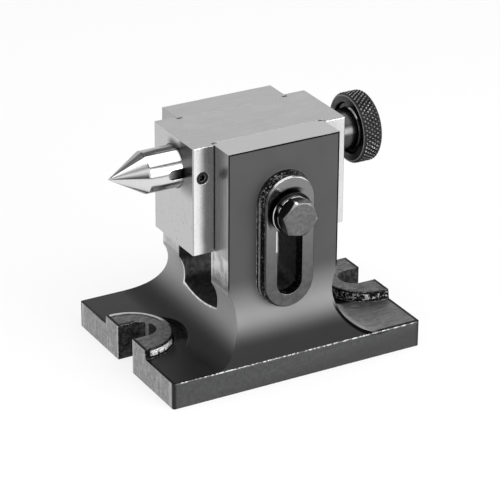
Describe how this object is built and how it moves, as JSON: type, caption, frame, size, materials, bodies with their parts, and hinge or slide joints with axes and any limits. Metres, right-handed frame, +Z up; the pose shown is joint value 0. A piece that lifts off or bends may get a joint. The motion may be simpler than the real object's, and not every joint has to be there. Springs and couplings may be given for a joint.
{
  "type": "rotary table tailstock",
  "caption": "Adjustable-height tailstock for a rotary table: slotted cast base, sliding block clamped by a hexagon bolt, and a pointed centre wound in and out by a knurled knob.",
  "frame": {"origin": "middle of the underside of the base, on the centre line", "axes": "+X along the centre line towards the knob, the clamp bolt faces -Y, +Z up"},
  "size_m": [0.1395, 0.096, 0.1141],
  "materials": {
    "painted_casting": "dark grey semi-gloss paint on cast iron, bare machined pads",
    "ground_steel": "ground, fine lengthwise marks",
    "polished_steel": "ground and polished",
    "turned_steel": "turned",
    "bronze": "turned",
    "black_knob": "black oxide, knurled",
    "black_bolt": "black oxide"
  },
  "bodies": {
    "base": {"base_casting": "painted_casting"},
    "block": {"sliding_block": "ground_steel", "flanged_bush": "bronze", "clamp_washer": "black_bolt", "spring_washer": "black_bolt"},
    "centre": {"centre": "polished_steel"},
    "feed": {"feed_screw": "turned_steel", "knob": "black_knob", "knob_pin": "turned_steel"},
    "clamp": {"clamp_bolt": "black_bolt"},
    "guide": {"guide_screw": "black_bolt"}
  },
  "joints": [
    {"name": "block_slide", "type": "slide", "parent": "base", "child": "block", "axis": [0, 0, 1], "range_m": [-0.028, 0.006]},
    {"name": "knob_turn", "type": "hinge", "parent": "block", "child": "feed", "pos_m": [0.057, 0, 0.097], "axis": [-1, 0, 0], "range_deg": [-2390, 4790]},
    {"name": "centre_feed", "type": "slide", "parent": "block", "child": "centre", "axis": [-1, 0, 0], "range_m": [-0.01, 0.02]},
    {"name": "clamp_turn", "type": "hinge", "parent": "block", "child": "clamp", "pos_m": [0, -0.045, 0.0804], "axis": [0, -1, 0], "range_deg": [0, 180]},
    {"name": "guide_turn", "type": "hinge", "parent": "block", "child": "guide", "pos_m": [-0.035, -0.018, 0.097], "axis": [0, -1, 0], "range_deg": [0, 180]}
  ],
  "couplings": [
    {"joint": "centre_feed", "follows": "knob_turn", "m_per_rad": 0.00023873}
  ]
}
